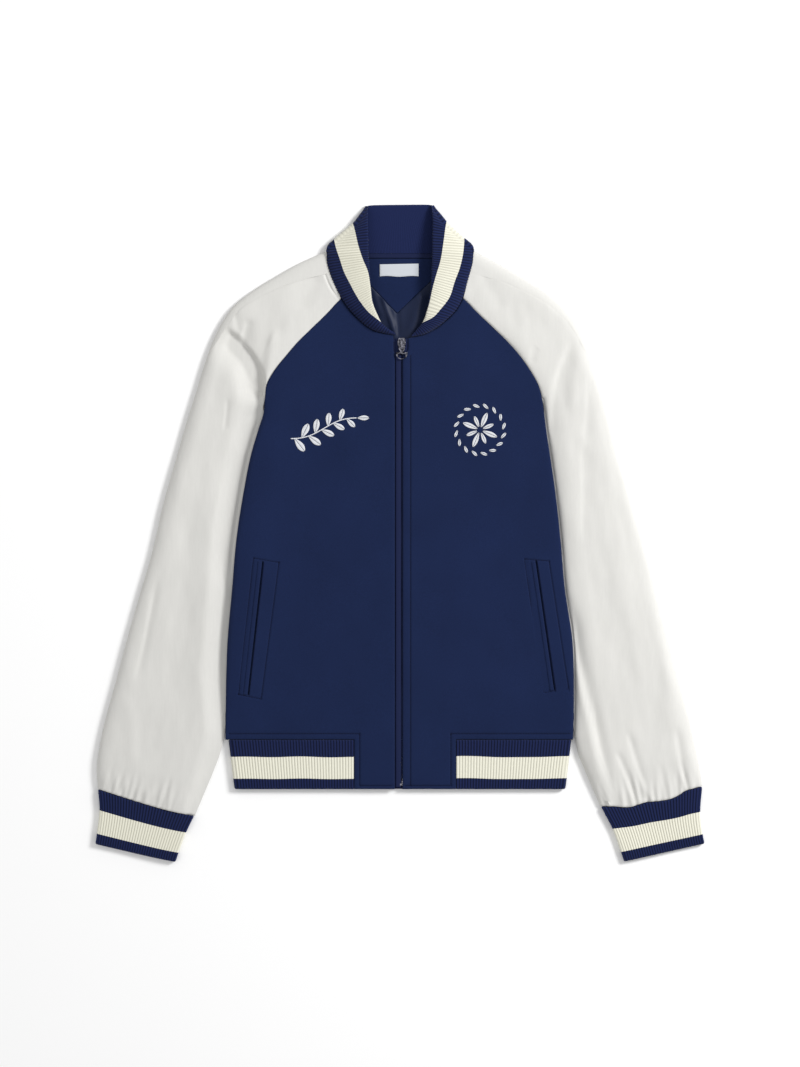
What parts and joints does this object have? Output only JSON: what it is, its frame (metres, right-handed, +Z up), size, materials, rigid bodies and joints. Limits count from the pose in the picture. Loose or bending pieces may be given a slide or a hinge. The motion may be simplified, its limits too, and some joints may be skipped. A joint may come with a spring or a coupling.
{
  "type": "bomber jacket",
  "caption": "Bomber jacket laid flat with its zip closed: wool body, pale raglan sleeves, striped rib collar, cuffs and hem, and a hinged zip pull.",
  "frame": {"origin": "on the surface the jacket lies on, on the zip line, under the middle of the back", "axes": "+Z up out of the surface through the front of the jacket, +Y along the zip to the collar, +X to the wearer's left sleeve; right-handed"},
  "size_m": [0.7754, 0.8353, 0.0214],
  "materials": {
    "wool_navy": "napped wool, matte",
    "rib_knit": "rib knit, matte, navy with one cream stripe",
    "sleeve_cloth": "smooth matte cloth",
    "facing_wool": "wool, matte",
    "lining_satin": "satin sheen",
    "label_white": "woven, satin",
    "tape_navy": "woven tape",
    "zip_metal": "dark gunmetal, satin"
  },
  "bodies": {
    "jacket": {"back": "wool_navy", "front_right": "wool_navy", "front_left": "wool_navy", "sleeve_front_right": "sleeve_cloth", "sleeve_back_right": "sleeve_cloth", "sleeve_front_left": "sleeve_cloth", "sleeve_back_left": "sleeve_cloth", "cuff_right": "rib_knit", "cuff_left": "rib_knit", "hem_rib": "rib_knit", "collar_rib": "rib_knit", "neck_facing": "facing_wool", "neck_tape": "tape_navy", "lining": "lining_satin", "neck_label": "label_white", "zip_tape_right": "tape_navy", "zip_tape_left": "tape_navy", "zip_box": "zip_metal", "zip_slider": "zip_metal", "pocket_welt_right": "wool_navy", "pocket_welt_left": "wool_navy"},
    "pull": {"zip_pull": "zip_metal"}
  },
  "joints": [
    {"name": "zip_pull_hinge", "type": "hinge", "parent": "jacket", "child": "pull", "pos_m": [0.0016, 0.2425, 0.0104], "axis": [-1, 0, 0], "range_deg": [0, 120]}
  ]
}
